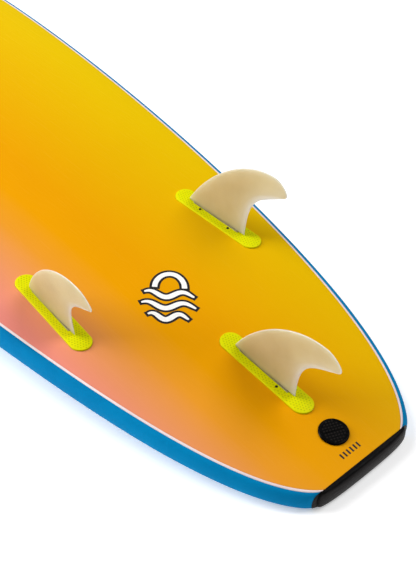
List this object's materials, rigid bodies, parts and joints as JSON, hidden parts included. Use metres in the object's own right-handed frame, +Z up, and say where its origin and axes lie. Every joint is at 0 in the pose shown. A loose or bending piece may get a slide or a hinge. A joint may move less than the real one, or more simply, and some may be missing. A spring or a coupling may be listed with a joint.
{
  "type": "surfboard",
  "caption": "Soft-top foam surfboard with a squared tail, a slick printed bottom, removable fins in screwed boxes and a leash plug.",
  "frame": {"origin": "on the floor, under the middle of the board, which lies on its deck with its bottom up and touches the floor at its tail and its nose", "axes": "+X across the board, +Y from tail to nose, +Z up, out of the slick bottom, which is the side the fins stand on"},
  "size_m": [0.5728, 2.1339, 0.1914],
  "materials": {
    "core_foam": "matte",
    "stringer_ply": "satin",
    "deck_foam": "matte",
    "rail_foam": "matte",
    "slick_print": "gloss",
    "edge_band": "satin",
    "bumper_foam": "matte",
    "box_plastic": "satin",
    "fin_resin": "satin",
    "screw_steel": "satin",
    "plug_plastic": "matte",
    "bar_steel": "polished",
    "cap_plastic": "matte"
  },
  "bodies": {
    "board": {"core_tail": "core_foam", "core_left_inner": "core_foam", "core_left_outer": "core_foam", "core_right_inner": "core_foam", "core_right_outer": "core_foam", "stringer_left": "stringer_ply", "stringer_center": "stringer_ply", "stringer_right": "stringer_ply", "deck_skin": "deck_foam", "rail_left": "rail_foam", "rail_right": "rail_foam", "bottom_slick": "slick_print", "edge_band_left": "edge_band", "edge_band_right": "edge_band", "tail_bumper": "bumper_foam", "fin_box_left": "box_plastic", "fin_box_center": "box_plastic", "fin_box_right": "box_plastic", "leash_cup": "plug_plastic", "leash_bar": "bar_steel"},
    "fin_left": {"fin_left": "fin_resin"},
    "fin_center": {"fin_center": "fin_resin"},
    "fin_right": {"fin_right": "fin_resin"},
    "screw_left_front": {"screw_left_front": "screw_steel"},
    "screw_left_rear": {"screw_left_rear": "screw_steel"},
    "screw_center_front": {"screw_center_front": "screw_steel"},
    "screw_center_rear": {"screw_center_rear": "screw_steel"},
    "screw_right_front": {"screw_right_front": "screw_steel"},
    "screw_right_rear": {"screw_right_rear": "screw_steel"},
    "leash_cap": {"leash_cap": "cap_plastic"}
  },
  "joints": [
    {"name": "fin_left_pull", "type": "slide", "parent": "board", "child": "fin_left", "axis": [-0.1095, -0.0769, 0.991], "range_m": [0, 0.022]},
    {"name": "fin_center_pull", "type": "slide", "parent": "board", "child": "fin_center", "axis": [0, -0.1112, 0.9938], "range_m": [0, 0.022]},
    {"name": "fin_right_pull", "type": "slide", "parent": "board", "child": "fin_right", "axis": [0.1095, -0.0769, 0.991], "range_m": [0, 0.022]},
    {"name": "screw_left_front_turn", "type": "hinge", "parent": "board", "child": "screw_left_front", "pos_m": [-0.14416, -0.59727, 0.08001], "axis": [0.0991, -0.0908, 0.9909], "range_deg": [0, 1080]},
    {"name": "screw_left_rear_turn", "type": "hinge", "parent": "board", "child": "screw_left_rear", "pos_m": [-0.14794, -0.65394, 0.07519], "axis": [0.0991, -0.0908, 0.9909], "range_deg": [0, 1080]},
    {"name": "screw_center_front_turn", "type": "hinge", "parent": "board", "child": "screw_center_front", "pos_m": [0.007, -0.85464, 0.05465], "axis": [0.2079, -0.1088, 0.9721], "range_deg": [0, 1080]},
    {"name": "screw_center_rear_turn", "type": "hinge", "parent": "board", "child": "screw_center_rear", "pos_m": [-0.007, -0.91129, 0.04831], "axis": [-0.2079, -0.1088, 0.9721], "range_deg": [0, 1080]},
    {"name": "screw_right_front_turn", "type": "hinge", "parent": "board", "child": "screw_right_front", "pos_m": [0.14416, -0.59727, 0.08001], "axis": [-0.0991, -0.0908, 0.9909], "range_deg": [0, 1080]},
    {"name": "screw_right_rear_turn", "type": "hinge", "parent": "board", "child": "screw_right_rear", "pos_m": [0.14794, -0.65394, 0.07519], "axis": [-0.0991, -0.0908, 0.9909], "range_deg": [0, 1080]},
    {"name": "leash_cap_turn", "type": "hinge", "parent": "board", "child": "leash_cap", "pos_m": [0, -1.0069, 0.03439], "axis": [0, -0.1239, 0.9923], "range_deg": [0, 1440]}
  ]
}
